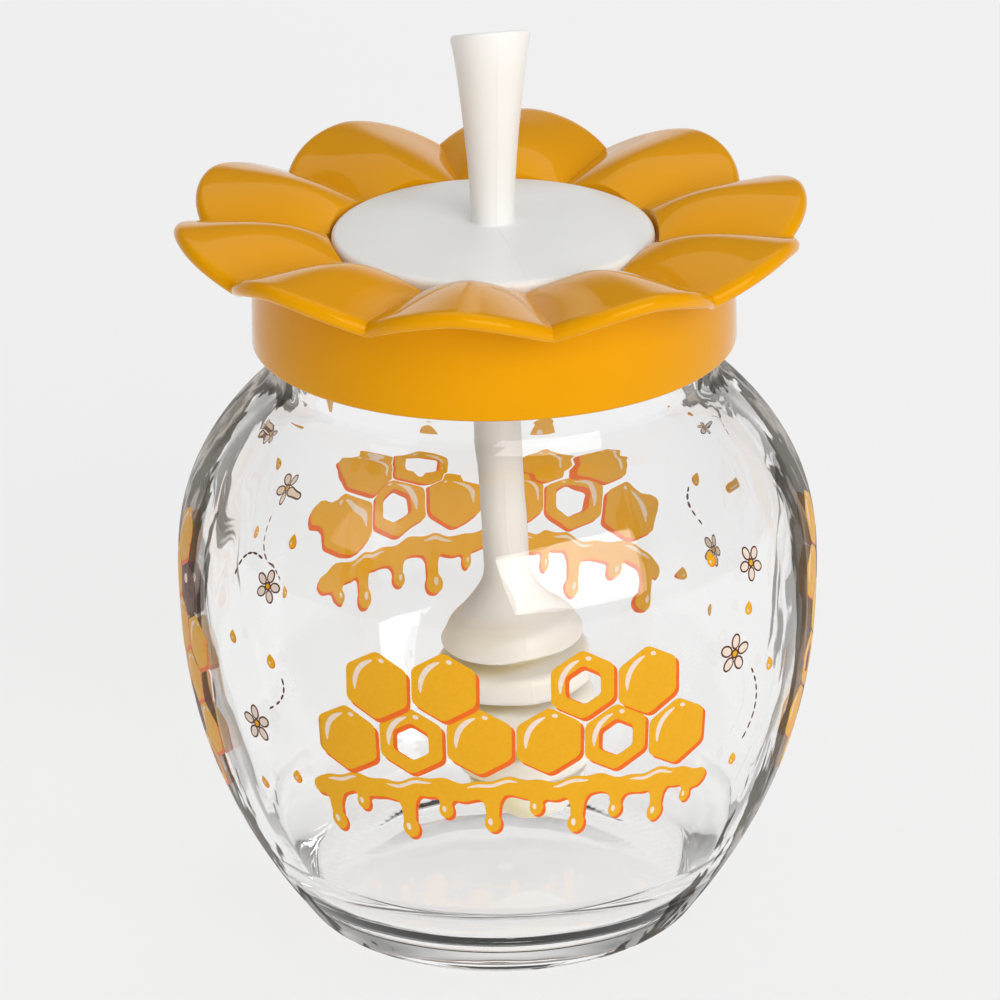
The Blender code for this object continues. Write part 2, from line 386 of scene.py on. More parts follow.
def jar_rings():
    turn = math.tau / JAR_SEGMENTS
    angles = [i * turn for i in range(JAR_SEGMENTS)]
    rings = []
    for profile, point in ((outer_profile(), outer_point), (inner_profile(), wavy_inner_point)):
        for radius, height in profile:
            if radius == 0.0:
                rings.append([Vector((0.0, 0.0, height))])
            else:
                rings.append([point(angle, radius, height) for angle in angles])
    return rings


# Flower lid

def petal_place(angle_deg):
    """-1 to 1 across the petal that this direction falls on; 0 is its middle."""
    pitch = 360.0 / PETALS
    across = (angle_deg - FIRST_PETAL_DEG + 0.5 * pitch) % pitch - 0.5 * pitch
    return across / (0.5 * pitch)


def rim_radius(place):
    return NOTCH_R + (TIP_R - NOTCH_R) * (1.0 - abs(place) ** OUTLINE_POWER)


def petal_height(radius, place):
    """Height of a petal's top face: a leaf that rises steeply, then levels out, with creases between."""
    out = max(0.0, (radius - RECESS_R) / (rim_radius(place) - RECESS_R))
    crest = TIP_Z - (TIP_Z - ROOT_CREST_Z) * (1.0 - out) ** CREST_POWER
    valley = ROOT_VALLEY_Z + (NOTCH_Z - ROOT_VALLEY_Z) * out ** VALLEY_POWER
    return valley + (crest - valley) * (1.0 - abs(place) ** DOME_POWER)


def lid_section(place):
    """The lid's closed section at one direction, as (radius, height)."""
    half = 0.5 * RIM_THICKNESS
    rim = rim_radius(place)
    edge = rim - half
    section = [(LID_HOLE_R, PLATE_UNDER_Z + EDGE), (LID_HOLE_R, LEDGE_Z - EDGE)]
    section += [(LID_HOLE_R + EDGE_MIDDLE, LEDGE_Z - EDGE_MIDDLE), (LID_HOLE_R + EDGE, LEDGE_Z)]
    section += [(radius, LEDGE_Z) for radius in spread(LID_HOLE_R + 2.0 * MM, RECESS_R, 5)]
    lip_r = RECESS_R + RECESS_ROUNDING
    lip_z = petal_height(lip_r, place)
    section.append((RECESS_R, lip_z - RECESS_ROUNDING))
    section.append((RECESS_R + 0.3 * RECESS_ROUNDING, lip_z - 0.3 * RECESS_ROUNDING))
    for i in range(PETAL_RINGS + 1):
        radius = lip_r + (edge - lip_r) * (i / PETAL_RINGS) ** RING_CROWDING
        section.append((radius, petal_height(radius, place)))
    edge_height = petal_height(edge, place)
    section += arc(edge, edge_height - half, half, 90.0, -90.0, RIM_STEPS)[1:]
    for part in (0.8, 0.6, 0.4, 0.2):
        under_r = SKIRT_TOP_R + part * (edge - SKIRT_TOP_R)
        section.append((under_r, petal_height(under_r, place) - PETAL_THICKNESS))
    section.append((SKIRT_TOP_R, petal_height(SKIRT_TOP_R, place) - PETAL_THICKNESS))
    for part in (0.0, 0.33, 0.67):
        height = SKIRT_BOTTOM_Z + SKIRT_ROUNDING + (1.0 - part) * SKIRT_TAPER
        section.append((SKIRT_TOP_R + part * (SKIRT_R - SKIRT_TOP_R), height))
    section += arc(SKIRT_R - SKIRT_ROUNDING, SKIRT_BOTTOM_Z + SKIRT_ROUNDING, SKIRT_ROUNDING, 0.0, -90.0, 4)
    section += arc(SKIRT_INNER_R + EDGE, SKIRT_BOTTOM_Z + EDGE, EDGE, -90.0, -180.0, 3)
    section.append((SKIRT_INNER_R, PLATE_UNDER_Z - INNER_EDGE))
    section.append((SKIRT_INNER_R - INNER_EDGE, PLATE_UNDER_Z))
    section.append((LID_HOLE_R + EDGE, PLATE_UNDER_Z))
    return section


def lid_rings():
    count = PETALS * STEPS_PER_PETAL
    columns = []
    for i in range(count):
        angle = FIRST_PETAL_DEG + 360.0 * (i / count - 0.5 / PETALS)
        direction = math.radians(angle)
        across, ahead = math.cos(direction), math.sin(direction)
        columns.append([Vector((r * across, r * ahead, z)) for r, z in lid_section(petal_place(angle))])
    return [list(ring) for ring in zip(*columns)]


# Dipper

def dipper_directions(radius):
    """Angles round a ring of the dipper, with close ones at the mould's parting line."""
    sides = (-2.2, -1.0, -0.45, 0.0, 0.45, 1.0, 2.2)
    widest = 0.35
    angles = []
    start = math.radians(PARTING_DEG)
    near = []
    for side in sides:
        turn = min(widest, abs(side) * PARTING_WIDTH / max(radius, 2.0 * MM))
        near.append(turn if side >= 0 else -turn)
    for half in (0.0, math.pi):
        angles += [start + half + side for side in near]
        first, last = start + half + near[-1], start + half + math.pi + near[0]
        angles += spread(first, last, DIPPER_SEGMENTS // 2)[1:-1]
    return angles


def parting(angle, radius):
    """How much higher the moulding is at this place, close to its parting line."""
    aside = radius * math.sin(angle - math.radians(PARTING_DEG)) / PARTING_WIDTH
    return PARTING_HEIGHT * math.exp(-2.0 * aside * aside)


def cut_ring(radius, drop):
    """A ring of the handle's slanted end, this far below the cut."""
    ring = []
    for angle in dipper_directions(radius):
        x, y = radius * math.cos(angle), radius * math.sin(angle)
        rise = x * math.tan(HANDLE_CUT_LEFT) - y * math.tan(HANDLE_CUT_BACK)
        ring.append(Vector((x, y, HANDLE_TOP_Z - drop + rise)))
    return ring


def upright_ring(radius, height, outward=1.0, upward=0.0):
    """A level ring of the handle or the disc, with the parting line raised along its outer or top face."""
    ring = []
    for angle in dipper_directions(radius):
        raised = parting(angle, radius)
        r = radius + outward * raised
        ring.append(Vector((r * math.cos(angle), r * math.sin(angle), height + upward * raised)))
    return ring


def leaning_ring(radius, height):
    """A ring square to the shaft, which leans and bows towards +X below the disc."""
    down = DISC_UNDER_Z - height
    offset = SHAFT_LEAN * down + SHAFT_BOW * down * down
    lean = math.atan(SHAFT_LEAN + 2.0 * SHAFT_BOW * down)
    ring = []
    for angle in dipper_directions(radius):
        r = radius + 0.8 * parting(angle, radius)
        x, y = r * math.cos(angle), r * math.sin(angle)
        ring.append(Vector((offset + x * math.cos(lean), y, height + x * math.sin(lean))))
    return ring


def handle_radius(height):
    part = (height - DISC_TOP_Z) / (HANDLE_TOP_Z - DISC_TOP_Z)
    return HANDLE_FOOT_R + (HANDLE_TOP_R - HANDLE_FOOT_R) * part ** HANDLE_FLARE


def disc_height(radius):
    return DISC_TOP_Z - (DISC_TOP_Z - DISC_SHOULDER_Z) * (radius / (DISC_R - DISC_EDGE)) ** DISC_DOME_POWER


def handle_rings():
    rings = [[Vector((0.0, 0.0, HANDLE_TOP_Z))]]
    flat = HANDLE_TOP_R - HANDLE_ROUNDING
    rings += [cut_ring(part * flat, 0.0) for part in (0.35, 0.7, 1.0)]
    for i in range(1, 6):
        angle = 0.5 * math.pi * i / 6
        drop = HANDLE_ROUNDING * (1.0 - math.cos(angle))
        rings.append(cut_ring(flat + HANDLE_ROUNDING * math.sin(angle), drop))
    rings.append(cut_ring(HANDLE_TOP_R, 1.1 * HANDLE_ROUNDING))
    foot_z = DISC_TOP_Z + HANDLE_FOOT_ROUNDING
    heights = spread(HANDLE_TOP_Z - HANDLE_CUT_ROOM, foot_z, 16)
    rings += [upright_ring(handle_radius(height), height) for height in heights]
    for i in range(1, 5):
        angle = 0.5 * math.pi * i / 5
        radius = HANDLE_FOOT_R + HANDLE_FOOT_ROUNDING * (1.0 - math.cos(angle))
        rings.append(upright_ring(radius, foot_z - HANDLE_FOOT_ROUNDING * math.sin(angle)))
    return rings


def disc_rings():
    flat = DISC_R - DISC_EDGE
    level = spread(HANDLE_FOOT_R + HANDLE_FOOT_ROUNDING, flat, 22)
    rings = [upright_ring(radius, disc_height(radius), 0.0, 1.0) for radius in level]
    for radius, height in arc(flat, DISC_SHOULDER_Z - DISC_EDGE, DISC_EDGE, 80.0, 0.0, 7)[1:]:
        rings.append(upright_ring(radius, height, 0.6, 0.4))
    rings.append(upright_ring(DISC_R, DISC_UNDER_Z + EDGE))
    rings.append(upright_ring(DISC_R - EDGE_MIDDLE, DISC_UNDER_Z + EDGE_MIDDLE))
    under = [DISC_R - EDGE] + spread(LID_HOLE_R, SHAFT_R + 0.9 * MM, 6)
    return rings + [upright_ring(radius, DISC_UNDER_Z, 0.0) for radius in under]


def shaft_profile():
    cone = (
        # height above the cone's edge, radius
        (14.0 * MM, SHAFT_R),
        (11.3 * MM, 4.4 * MM),
        (8.5 * MM, 6.1 * MM),
        (5.1 * MM, 9.3 * MM),
        (3.2 * MM, 11.7 * MM),
        (1.2 * MM, 12.9 * MM),
        (0.0, CONE_R),
    )
    profile = [(SHAFT_R + 0.3 * MM, DISC_UNDER_Z - 0.3 * MM), (SHAFT_R, DISC_UNDER_Z - 0.9 * MM)]
    profile += [(SHAFT_R, height) for height in spread(DISC_UNDER_Z - 4.0 * MM, CONE_Z + 18.0 * MM, 12)]
    profile += smooth_through([(radius, CONE_Z + rise) for rise, radius in cone], 4)
    rounding = 0.35 * MM
    profile += arc(CONE_R - rounding, CONE_Z - rounding, rounding, 40.0, -80.0, 6)
    above = CONE_Z - 0.9 * MM
    for top, bottom, radius, edge in RIDGES:
        profile += groove(above, top)
        profile += arc(radius - edge, top - edge, edge, 90.0, 0.0, 6)
        profile += arc(radius - edge, bottom + edge, edge, 0.0, -90.0, 6)
        above = bottom
    profile += groove(above, TIP_START_Z)
    steps = 12
    for i in range(steps):
        angle = 0.5 * math.pi * i / steps
        height = TIP_START_Z - (TIP_START_Z - TIP_END_Z) * math.sin(angle)
        profile.append((TIP_START_R * math.cos(angle), height))
    return profile


def groove(above, below):
    """The slot between two ridges, with small rounded corners at its root."""
    room = min(GROOVE_ROUNDING, 0.4 * (above - below))
    return [
        (GROOVE_R + GROOVE_MOUTH, above),
        (GROOVE_R + room, above - 0.12 * room),
        (GROOVE_R + 0.1 * room, above - 0.6 * room),
        (GROOVE_R + 0.1 * room, below + 0.6 * room),
        (GROOVE_R + room, below + 0.12 * room),
        (GROOVE_R + GROOVE_MOUTH, below),
    ]


def smooth_through(points, steps):
    """A Catmull-Rom curve through the points."""
    curve = []
    for i in range(len(points) - 1):
        p0 = points[max(i - 1, 0)]
        p1, p2 = points[i], points[i + 1]
        p3 = points[min(i + 2, len(points) - 1)]
        for k in range(steps):
            t = k / steps
            curve.append(tuple(0.5 * (
                2 * b + (c - a) * t + (2 * a - 5 * b + 4 * c - d) * t * t + (3 * b - a - 3 * c + d) * t ** 3
            ) for a, b, c, d in zip(p0, p1, p2, p3)))
    curve.append(points[-1])
    return curve


def dipper_rings():
    rings = handle_rings() + disc_rings()
    rings += [leaning_ring(radius, height) for radius, height in shaft_profile()]
    down = DISC_UNDER_Z - TIP_END_Z
    rings.append([Vector((SHAFT_LEAN * down + SHAFT_BOW * down * down, 0.0, TIP_END_Z))])
    return rings


# Print: flat outlines in millimetres, across and up, laid round the glass

def placed(x, y, turn_deg, outline):
    """An outline round the origin, turned and moved to (x, y)."""
    cosine, sine = math.cos(math.radians(turn_deg)), math.sin(math.radians(turn_deg))
    return [(x + u * cosine - v * sine, y + u * sine + v * cosine) for u, v in outline]


def oval(x, y, wide, high, turn_deg, count):
    angles = [math.tau * i / count for i in range(count)]
    outline = [(0.5 * wide * math.cos(a), 0.5 * high * math.sin(a)) for a in angles]
    return placed(x, y, turn_deg, outline)


def stroke(route, width):
    """A band of ink along a route, narrower at both ends."""
    left, right = [], []
    count = len(route)
    for i, (x, y) in enumerate(route):
        ahead = route[min(i + 1, count - 1)]
        behind = route[max(i - 1, 0)]
        dx, dy = ahead[0] - behind[0], ahead[1] - behind[1]
        length = math.hypot(dx, dy) or 1.0
        part = i / (count - 1)
        swell = 1.0 - (2.0 * part - 1.0) ** 4
        half = 0.5 * width * max(0.25, swell)
        left.append((x - half * dy / length, y + half * dx / length))
        right.append((x + half * dy / length, y - half * dx / length))
    return left + right[::-1]


def curve_route(start, middle, end):
    """A route of one soft bend from start to end that heads for the middle point."""
    return [start] + bend(start, middle, end, 8) + [end]


def hexagon(x, y, radius, rounding):
    """A honeycomb cell, point up, with rounded corners."""
    points = []
    inner = radius - rounding / math.cos(math.radians(30.0))
    for k in range(6):
        corner = math.radians(60.0 * k + 30.0)
        cx, cy = x + inner * math.cos(corner), y + inner * math.sin(corner)
        for i in range(5):
            a = corner + math.radians(-30.0 + 15.0 * i)
            points.append((cx + rounding * math.cos(a), cy + rounding * math.sin(a)))
    return points


def shifted(points, dx, dy):
    return [(x + dx, y + dy) for x, y in points]


def cell(x, y, radius, hollow):
    """One printed honeycomb cell: amber edge, honey body, pale shine; a hollow one shows bare glass."""
    body = hexagon(x, y, radius, 0.26 * radius)
    shapes = [(shifted(body, 0.10 * radius, -0.11 * radius), "amber"), (body, "honey")]
    if hollow:
        hole = hexagon(x, y, 0.50 * radius, 0.15 * radius)
        shapes.append((hexagon(x, y, 0.56 * radius, 0.16 * radius), "amber"))
        shapes.append((shifted(hole, 0.06 * radius, -0.07 * radius), None))
    low = (x - 0.62 * radius, y - 0.18 * radius)
    corner = (x - 0.66 * radius, y + 0.50 * radius)
    high = (x - 0.10 * radius, y + 0.72 * radius)
    spot = oval(x + 0.16 * radius, y + 0.74 * radius, 0.17 * radius, 0.12 * radius, -20.0, 10)
    return shapes + [(stroke(curve_route(low, corner, high), 0.15 * radius), "cream"), (spot, "cream")]


def print_sag(x):
    """How far the print hangs at this place, so that its rows look level from a little above."""
    return -PRINT_SAG * (x / PRINT_HALF_WIDTH) ** 2


def drip_outline(left, right, top, thick, drips):
    """A band of running honey: a waved top edge and the necks of drips (place, length, half width) below."""
    step = 0.3
    end_length = 2.4
    neck, flare = 0.8, 1.9
    count = 1 + round((right - left) / step)
    upper, lower = [], []
    for i in range(count):
        x = left + (right - left) * i / (count - 1)
        ends = min(1.0, (x - left) / end_length, (right - x) / end_length)
        body = thick * math.sqrt(max(0.0, ends * (2.0 - ends)))
        middle = top - 0.5 * thick + band_wave(x)
        hang = 0.0
        for place, length, half in drips:
            u = abs(x - place) / half
            if u < neck:
                hang = max(hang, length - 1.3 * half)
            elif u < flare:
                hang = max(hang, 0.30 * length * ((flare - u) / (flare - neck)) ** 3)
        upper.append((x, middle + 0.5 * body))
        lower.append((x, middle - 0.5 * body - hang * min(1.0, max(0.0, ends))))
    return upper + lower[::-1]


def band_wave(x):
    return print_sag(x) + 0.5 * math.sin(0.43 * x + 0.8) + 0.25 * math.sin(1.1 * x)


def drop(x, y, high, turn_deg):
    """A small falling drop with a pale spot."""
    count = 20
    angles = [math.tau * i / count for i in range(count)]
    widths = [0.46 * high * math.sin(a) * math.sin(0.5 * a) ** 0.7 for a in angles]
    points = placed(x, y, turn_deg, [(wide, 0.5 * high * math.cos(a)) for wide, a in zip(widths, angles)])
    return [
        (shifted(points, 0.06 * high, -0.06 * high), "amber"),
        (points, "honey"),
        (oval(x - 0.08 * high, y - 0.18 * high, 0.16 * high, 0.24 * high, 15.0, 10), "cream"),
    ]


def flower(x, y, size, turn_deg):
    """A small line-drawn blossom: five open petals round an amber middle."""
    shapes = []
    for long, wide, count, ink in ((0.40, 0.30, 16, "brown"), (0.31, 0.21, 14, "cream")):
        for k in range(5):
            turn = turn_deg + 72.0 * k
            a = math.radians(turn)
            px, py = x + 0.30 * size * math.cos(a), y + 0.30 * size * math.sin(a)
            shapes.append((oval(px, py, long * size, wide * size, turn, count), ink))
    shapes.append((oval(x, y, 0.24 * size, 0.24 * size, 0.0, 14), "brown"))
    shapes.append((oval(x, y, 0.15 * size, 0.15 * size, 0.0, 12), "honey"))
    return shapes


def dashes(start, middle, end, count, length):
    """A dashed line from start to end that bends towards the middle point."""
    shapes = []
    for i in range(count):
        t = (i + 0.5) / count
        x, y = on_bend(start, middle, end, t)
        dx, dy = (2 * (1 - t) * (b - a) + 2 * t * (c - b) for a, b, c in zip(start, middle, end))
        shapes.append((oval(x, y, length, DASH_WIDTH, math.degrees(math.atan2(dy, dx)), 8), "brown"))
    return shapes


def main_print():
    """The comb over running honey, for the front and again for the back."""
    top, thick = 49.6, 3.8
    drips = (
        # place, length, half width
        (-32.0, 8.0, 1.5), (-26.0, 3.6, 1.2), (-17.0, 8.6, 1.5), (-10.0, 4.6, 1.25), (-1.5, 7.0, 1.45),
        (6.5, 3.6, 1.2), (14.0, 8.2, 1.5), (21.5, 4.6, 1.25), (30.0, 7.6, 1.5), (36.5, 3.4, 1.1),
    )
    band = drip_outline(-36.5, 41.0, top, thick, drips)
    honey, shine = [band], []
    for place, length, half in drips:
        tip = top - thick + band_wave(place) - length + 1.4 * half
        honey.append(oval(place, tip, 2.1 * half, 2.9 * half, 0.0, 20))
        shine.append(oval(place - 0.3 * half, tip + 0.1 * half, 0.6 * half, 1.1 * half, 8.0, 12))
    for left, right in ((-33.0, -27.0), (-21.0, -12.5), (-6.0, 3.0), (9.5, 16.0), (24.0, 33.0)):
        line = [(x, top - 0.9 + band_wave(x)) for x in spread(left, right, 14)]
        shine.append(stroke(line, 0.7))
    shapes = [(shifted(outline, 0.5, -0.55), "amber") for outline in honey]
    shapes += [(outline, "honey") for outline in honey]
    shapes += [(outline, "cream") for outline in shine]
    across, up = CELL_ACROSS * MAIN_CELL, CELL_UP * MAIN_CELL
    middle, low_row = 2.5, 57.3
    cells = [(middle + (k - 2.5) * across, low_row, k in (1, 4)) for k in range(6)]
    cells += [(middle + (k - 2.0) * across, low_row + up, k == 3) for k in (0, 1, 3, 4)]
    for x, y, hollow in cells:
        shapes += cell(x, y + print_sag(x), MAIN_CELL, hollow)
    return shapes


def side_print():
    """A tall comb for the left and right of the jar."""
    shapes = []
    radius = SIDE_CELL
    across, up = CELL_ACROSS * radius, CELL_UP * radius
    low_row = 35.0
    rows = ((-0.5, 0.5), (-1.0, 0.0, 1.0), (-0.5, 0.5), (0.0, 1.0), (-0.5, 0.5), (0.0,))
    dark_cells = ((1, 0.0), (4, 0.5))
    for row, places in enumerate(rows):
        for place in places:
            x, y = place * across, low_row + row * up
            if (row, place) in dark_cells:
                shine = oval(x - 0.2 * radius, y + 0.3 * radius, 0.5 * radius, 0.34 * radius, 30.0, 14)
                shapes += [(hexagon(x, y, radius, 0.26 * radius), "brown"), (shine, "cream")]
            else:
                hollow = (row + int(2 * place)) % 3 == 1
                shapes += cell(x, y, radius, hollow)
    return shapes


def scatter_print():
    """Small blossoms, drops and dashed trails between the combs."""
    flowers = (
        # across, up, size, turn
        (46.5, 66.0, 7.6, 10.0), (53.0, 81.0, 6.6, 40.0), (-49.5, 52.5, 7.4, 25.0), (-46.0, 80.0, 6.2, 5.0),
    )
    drops = (
        # across, up, height, turn
        (43.0, 84.5, 2.6, 10.0), (50.5, 73.5, 2.4, -12.0), (57.0, 60.5, 2.6, 8.0), (48.0, 44.5, 2.4, 0.0),
        (-44.5, 66.5, 2.6, 6.0), (-40.5, 44.5, 2.6, -8.0), (-50.5, 40.0, 2.4, 14.0), (-55.0, 68.0, 2.4, 0.0),
        (-42.5, 88.5, 2.3, 5.0),
    )
    shapes = []
    for place in flowers:
        shapes += flower(*place)
    for place in drops:
        shapes += drop(*place)
    shapes += dashes((51.0, 62.0), (56.0, 54.0), (50.0, 47.5), 8, 1.5)
    shapes += dashes((-46.0, 56.5), (-40.0, 60.0), (-42.0, 64.0), 5, 1.4)
    shapes += dashes((-48.5, 84.0), (-54.0, 86.0), (-55.5, 79.0), 6, 1.4)
    return shapes


def anticlockwise(outline):
    area = sum(a[0] * b[1] - b[0] * a[1] for a, b in zip(outline, outline[1:] + outline[:1]))
    return outline if area > 0.0 else outline[::-1]


def inked_triangles(shapes):
    """Splits overlapping outlines into triangles, each with the ink that lies on top there."""
    points, faces = [], []
    for outline, _ in shapes:
        faces.append(list(range(len(points), len(points) + len(outline))))
        points += [Vector(point) for point in anticlockwise(outline)]
    low_x, high_x = min(p.x for p in points), max(p.x for p in points)
    low_y, high_y = min(p.y for p in points), max(p.y for p in points)
    first_x, first_y = low_x + INK_GRID_OFFSET[0], low_y + INK_GRID_OFFSET[1]
    for i in range(1 + int((high_x - low_x) / INK_GRID)):
        for j in range(1 + int((high_y - low_y) / INK_GRID)):
            points.append(Vector((first_x + (i + 0.5 * (j % 2)) * INK_GRID, first_y + j * INK_GRID)))
    inside_only = 1
    spots, _, cells, _, _, sources = delaunay_2d_cdt(points, [], faces, inside_only, INK_MERGE, True)
    triangles = []
    for corners, source in zip(cells, sources):
        ink = shapes[max(source)][1] if source else None
        if ink is not None:
            triangles.append((tuple(corners), ink))
    return spots, triangles


def glass_point(angle, height, proud):
    """The point this far outside the outer face of the glass."""
    lean = math.atan(body_slope(height))
    radius = body_radius(height) + outer_wave(angle, height) + proud * math.cos(lean)
    return (radius * math.cos(angle), radius * math.sin(angle), height - proud * math.sin(lean))


def ink_piece(name, shapes, middle_deg, inks):
    """One thin closed shell of ink, bent round the jar with its middle at this direction."""
    spots, triangles = inked_triangles(shapes)
    used = sorted({corner for corners, _ in triangles for corner in corners})
    place = {corner: i for i, corner in enumerate(used)}
    count = len(used)
    points = []
    for proud in (INK_HALF, -INK_HALF):
        for corner in used:
            angle = math.radians(middle_deg) + spots[corner].x * MM / BELLY_R
            points.append(glass_point(angle, spots[corner].y * MM, proud))
    faces, looks, borders = [], [], {}
    for corners, ink in triangles:
        a, b, c = (place[corner] for corner in corners)
        faces += [(a, b, c), (c + count, b + count, a + count)]
        looks += [INKS.index(ink)] * 2
        for edge in ((a, b), (b, c), (c, a)):
            borders[edge] = INKS.index(ink)
    for (a, b), look in borders.items():
        if (b, a) not in borders:
            faces.append((b, a, a + count, b + count))
            looks.append(look)
    data = bpy.data.meshes.new(name)
    data.from_pydata(points, [], faces)
    for ink in INKS:
        data.materials.append(inks[ink])
    data.polygons.foreach_set("material_index", looks)
    data.update()
    obj = bpy.data.objects.new(name, data)
    bpy.context.scene.collection.objects.link(obj)
    data.shade_smooth()
    data.set_sharp_from_angle(angle=math.radians(50.0))
    return obj


# Materials

def greys(*stops):
    """Stops of a colour ramp from (position, grey) pairs."""
    return [(position, (grey, grey, grey)) for position, grey in stops]


def fill_ramp(node, stops):
    elements = node.color_ramp.elements
    while len(elements) < len(stops):
        elements.new(0.5)
    for element, (position, colour) in zip(elements, stops):
        element.position = position
        element.color = (*colour, 1.0)


class Look:
    """A material's node tree and its one Principled shader."""

    def __init__(self, name):
        self.material = bpy.data.materials.new(name)
        self.material.use_nodes = True
        self.tree = self.material.node_tree
        self.shader = self.tree.nodes["Principled BSDF"]
        self.place = self.add("ShaderNodeTexCoord").outputs["Object"]

    def add(self, kind, **values):
        node = self.tree.nodes.new(kind)
        for key, value in values.items():
            setattr(node, key, value)
        return node

    def link(self, output, target):
        self.tree.links.new(output, target)

    def compute(self, operation, *values):
        """A Math node's result, from other nodes' outputs and plain numbers."""
        node = self.add("ShaderNodeMath", operation=operation)
        for socket, value in zip(node.inputs, values):
            if isinstance(value, float):
                socket.default_value = value
            else:
                self.link(value, socket)
        return node.outputs["Value"]

    def remap(self, value, low, high, first=0.0, last=1.0):
        """The value's place between low and high, as a number from first to last."""
        node = self.add("ShaderNodeMapRange")
        for key, number in (("From Min", low), ("From Max", high), ("To Min", first), ("To Max", last)):
            node.inputs[key].default_value = number
        self.link(value, node.inputs["Value"])
        return node.outputs["Result"]

    def split(self, vector):
        node = self.add("ShaderNodeSeparateXYZ")
        self.link(vector, node.inputs["Vector"])
        return node.outputs

    def mix_shaders(self, factor, first, second):
        node = self.add("ShaderNodeMixShader")
        for socket, output in zip(node.inputs, (factor, first, second)):
            self.link(output, socket)
        return node.outputs["Shader"]

    def set(self, **values):
        for key, value in values.items():
            self.shader.inputs[key.replace("_", " ")].default_value = value

    def noise(self, scale, detail=3.0, stretch=(1.0, 1.0, 1.0), roughness=0.5):
        mapping = self.add("ShaderNodeMapping")
        mapping.inputs["Scale"].default_value = stretch
        self.link(self.place, mapping.inputs["Vector"])
        texture = self.add("ShaderNodeTexNoise")
        texture.inputs["Scale"].default_value = scale
        texture.inputs["Detail"].default_value = detail
        texture.inputs["Roughness"].default_value = roughness
        self.link(mapping.outputs["Vector"], texture.inputs["Vector"])
        return texture.outputs["Fac"]

    def ramp(self, factor, stops):
        node = self.add("ShaderNodeValToRGB")
        fill_ramp(node, stops)
        self.link(factor, node.inputs["Fac"])
        return node.outputs["Color"]

    def blend(self, value, low, high, first, second):
        """The first colour where the value is low, the second where it is high."""
        node = self.add("ShaderNodeMix", data_type="RGBA")
        self.link(self.remap(value, low, high), node.inputs["Factor"])
        self.link(first, node.inputs["A"])
        self.link(second, node.inputs["B"])
        return node.outputs["Result"]

    def colour(self, factor, stops):
        self.link(self.ramp(factor, stops), self.shader.inputs["Base Color"])

    def roughness(self, factor, low, high):
        self.link(self.ramp(factor, greys((0.3, low), (0.7, high))), self.shader.inputs["Roughness"])

    def bump(self, factor, strength, distance):
        node = self.add("ShaderNodeBump")
        node.inputs["Strength"].default_value = strength
        node.inputs["Distance"].default_value = distance
        self.link(factor, node.inputs["Height"])
        self.link(node.outputs["Normal"], self.shader.inputs["Normal"])


def glass_look():
    """Clear glass with painted shade: dark strands where an upright wall is seen edge on; they thin out
    towards the foot.
    """
    look = Look("clear_glass_wavy")
    look.set(Transmission_Weight=1.0, IOR=GLASS_IOR, Roughness=0.0)
    look.bump(look.noise(70.0, 2.0, (1.0, 1.0, 0.35)), 0.25, 0.3 * MM)
    edge = look.add("ShaderNodeLayerWeight")
    edge.inputs["Blend"].default_value = 0.5
    normal = look.split(look.add("ShaderNodeNewGeometry").outputs["Normal"])
    upright = look.remap(look.compute("ABSOLUTE", normal["Z"]), 0.70, 0.90, 0.68, 0.35)
    risen = look.remap(look.split(look.place)["Z"], 20.0 * MM, 90.0 * MM, 0.86, 1.0)
    grazing = look.compute("MULTIPLY", edge.outputs["Facing"], look.compute("MULTIPLY", upright, risen))
    strands = look.noise(120.0, 3.0, (1.0, 1.0, 0.14), 0.6)
    painted_edge_shade = look.compute("MULTIPLY_ADD", strands, 0.60, grazing)
    # Painted shade: the colour darkens to grey-brown where the wall is seen edge on, and the last tan stop is
    # a painted reflection of the print.
    look.colour(painted_edge_shade, (
        (0.720, (1.0, 1.0, 1.0)), (0.742, (0.92, 0.915, 0.90)), (0.760, (0.46, 0.43, 0.39)),
        (0.82, (0.20, 0.18, 0.15)), (0.92, (0.40, 0.30, 0.19)),
    ))
    # A dark glass, mixed in along the same painted edge shade.
    dark = look.add("ShaderNodeBsdfGlass")
    dark.inputs["Color"].default_value = (0.14, 0.125, 0.105, 1.0)
    dark.inputs["Roughness"].default_value = 0.0
    dark.inputs["IOR"].default_value = GLASS_IOR
    look.link(look.shader.inputs["Normal"].links[0].from_socket, dark.inputs["Normal"])
    painted_shade_mix = look.ramp(painted_edge_shade, greys((0.742, 0.0), (0.758, 0.85), (0.82, 0.8), (0.86, 0.25), (0.93, 0.75)))
    body = look.mix_shaders(painted_shade_mix, look.shader.outputs["BSDF"], dark.outputs["BSDF"])
    let_through = look.add("ShaderNodeBsdfTransparent")
    let_through.inputs["Color"].default_value = (0.95, 0.94, 0.925, 1.0)
    shadow = look.add("ShaderNodeLightPath").outputs["Is Shadow Ray"]
    output = next(node for node in look.tree.nodes if node.type == "OUTPUT_MATERIAL")
    look.link(look.mix_shaders(shadow, body, let_through.outputs["BSDF"]), output.inputs["Surface"])
    return look.material


def yellow_look():
    look = Look("glossy_yellow_moulding")
    look.set(IOR=1.45, Specular_IOR_Level=0.3, Specular_Tint=(1.0, 0.72, 0.22, 1.0))
    look.colour(look.noise(38.0, 3.0), ((0.30, (0.74, 0.315, 0.0005)), (0.70, (0.78, 0.335, 0.001))))
    look.roughness(look.noise(160.0, 3.0), 0.05, 0.09)
    look.bump(look.noise(240.0, 2.0), 0.05, 0.02 * MM)
    return look.material


